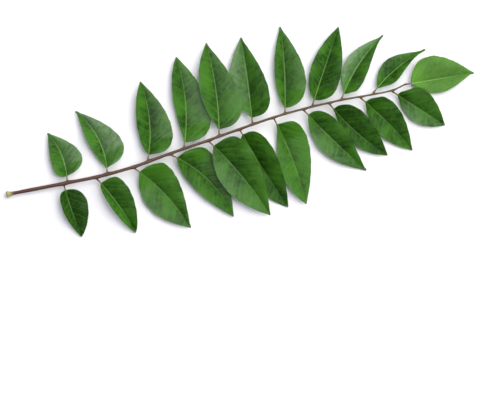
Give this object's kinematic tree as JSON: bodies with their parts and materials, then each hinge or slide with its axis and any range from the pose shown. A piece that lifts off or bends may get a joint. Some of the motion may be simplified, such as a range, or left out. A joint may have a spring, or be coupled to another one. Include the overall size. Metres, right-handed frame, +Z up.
{
  "type": "curry leaf sprig",
  "caption": "Cut curry leaf sprig lying flat: a slender brown rachis with folded, glossy green pointed leaflets on short stalks along both sides and one at the tip.",
  "frame": {"origin": "centre of the sprig's footprint, on the surface it lies on", "axes": "+X from the cut end to the tip leaflet, +Y to the leaf's left side, +Z up, away from the surface"},
  "size_m": [0.241, 0.0914, 0.0089],
  "materials": {
    "rachis": "satin",
    "leaf_green": "gloss",
    "leaf_young": "satin"
  },
  "bodies": {
    "root": {"rachis": "rachis", "leaflet_left_01": "leaf_green", "leaflet_left_02": "leaf_green", "leaflet_left_03": "leaf_green", "leaflet_left_04": "leaf_green", "leaflet_left_05": "leaf_green", "leaflet_left_06": "leaf_green", "leaflet_left_07": "leaf_green", "leaflet_left_08": "leaf_green", "leaflet_left_09": "leaf_green", "leaflet_left_10": "leaf_green", "leaflet_right_01": "leaf_green", "leaflet_right_02": "leaf_green", "leaflet_right_03": "leaf_green", "leaflet_right_04": "leaf_green", "leaflet_right_05": "leaf_green", "leaflet_right_06": "leaf_green", "leaflet_right_07": "leaf_green", "leaflet_right_08": "leaf_green", "leaflet_right_09": "leaf_green", "leaflet_right_10": "leaf_green", "leaflet_right_11": "leaf_green", "leaflet_terminal": "leaf_young"}
  },
  "joints": []
}
